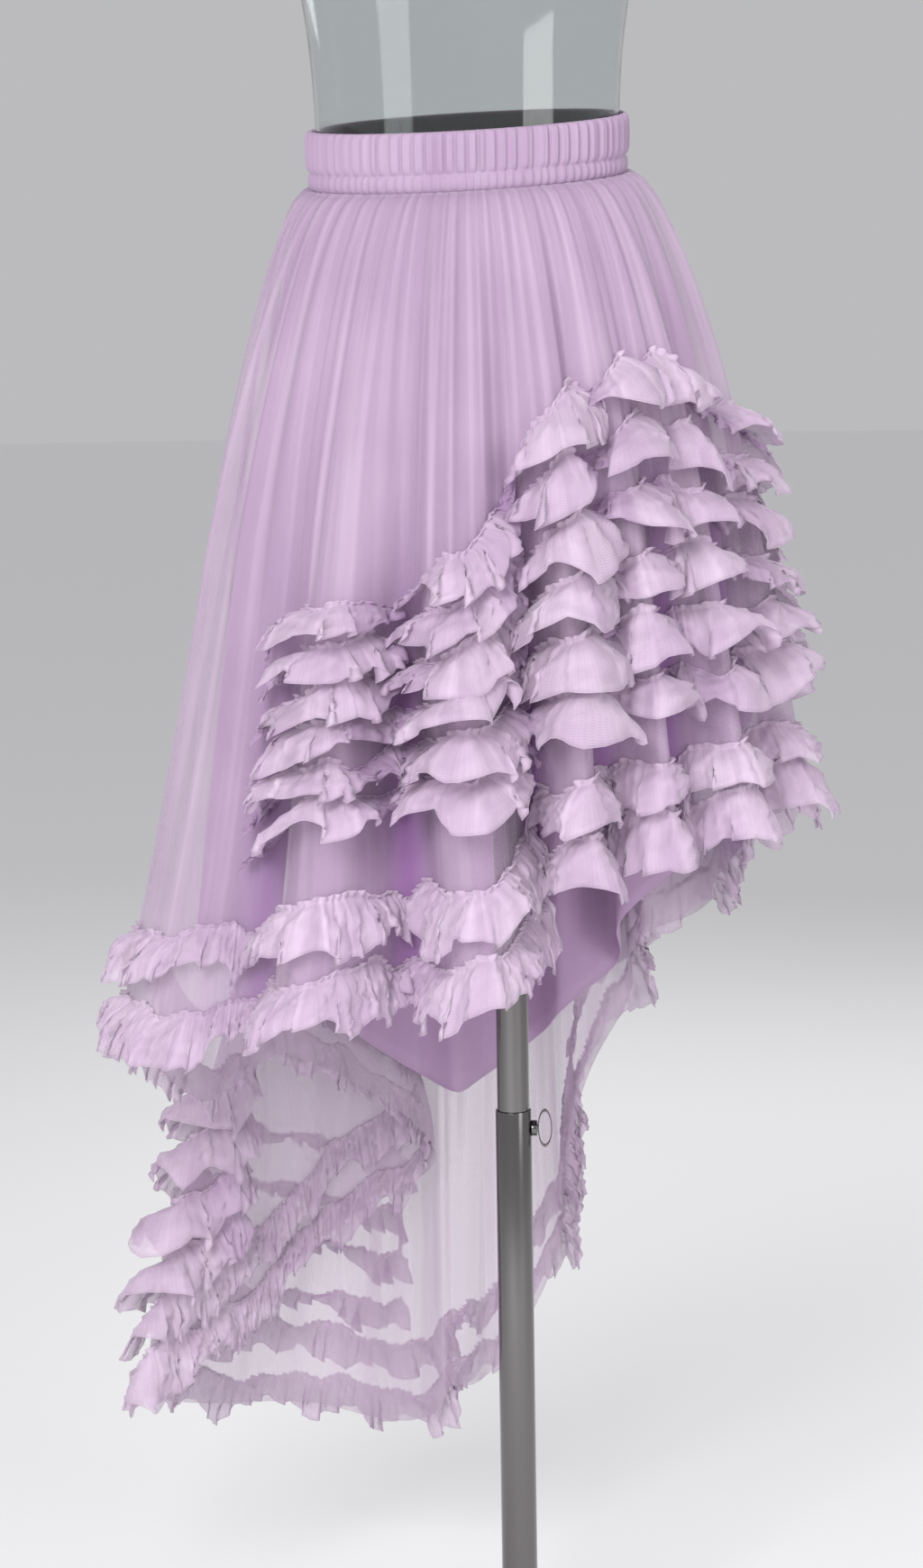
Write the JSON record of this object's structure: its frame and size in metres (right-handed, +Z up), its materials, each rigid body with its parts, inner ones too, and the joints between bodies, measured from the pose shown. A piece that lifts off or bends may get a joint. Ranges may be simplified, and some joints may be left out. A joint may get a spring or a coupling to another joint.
{
  "type": "mesh skirt on dress form",
  "caption": "High-low net skirt with gathered frill rows over an opaque lining, shown on a clear limbless dress form with a telescopic pole and a round base.",
  "frame": {"origin": "middle of the base plate's underside, on the floor under the pole's axis", "axes": "+Z up, +X to the right of the picture, +Y away from its camera"},
  "size_m": [0.5592, 0.5916, 1.712],
  "materials": {
    "net": "fine lavender net, see-through",
    "frill": "gathered lavender net",
    "lining": "soft opaque lilac cloth",
    "band": "gathered lilac cloth over elastic",
    "clear": "clear gloss",
    "steel": "satin",
    "chrome": "polished"
  },
  "bodies": {
    "stand": {"base_plate": "steel", "lower_tube": "chrome", "clamp_boss": "chrome"},
    "screw": {"clamp_screw": "chrome"},
    "mast": {"upper_pole": "chrome"},
    "form": {"form_shell": "clear", "form_socket": "clear", "neck_cap": "steel", "waistband": "band", "lining_front_right": "lining", "lining_front_left": "lining", "lining_back_left": "lining", "lining_back_right": "lining", "overskirt": "net", "frill_row_1": "frill", "frill_row_2": "frill", "frill_row_3": "frill", "frill_row_4": "frill", "frill_row_5": "frill", "frill_row_6": "frill", "back_frill_row_1": "frill", "back_frill_row_2": "frill", "back_frill_row_3": "frill", "back_frill_row_4": "frill", "hem_frill_upper": "frill", "hem_frill_lower": "frill"}
  },
  "joints": [
    {"name": "height_slide", "type": "slide", "parent": "stand", "child": "mast", "axis": [0, 0, 1], "range_m": [-0.12, 0.2]},
    {"name": "form_turn", "type": "hinge", "parent": "mast", "child": "form", "pos_m": [0, 0, 0.94], "axis": [0, 0, 1], "continuous": true},
    {"name": "clamp_screw_turn", "type": "hinge", "parent": "stand", "child": "screw", "pos_m": [0.0155, 0, 0.467], "axis": [1, 0, 0], "continuous": true}
  ]
}
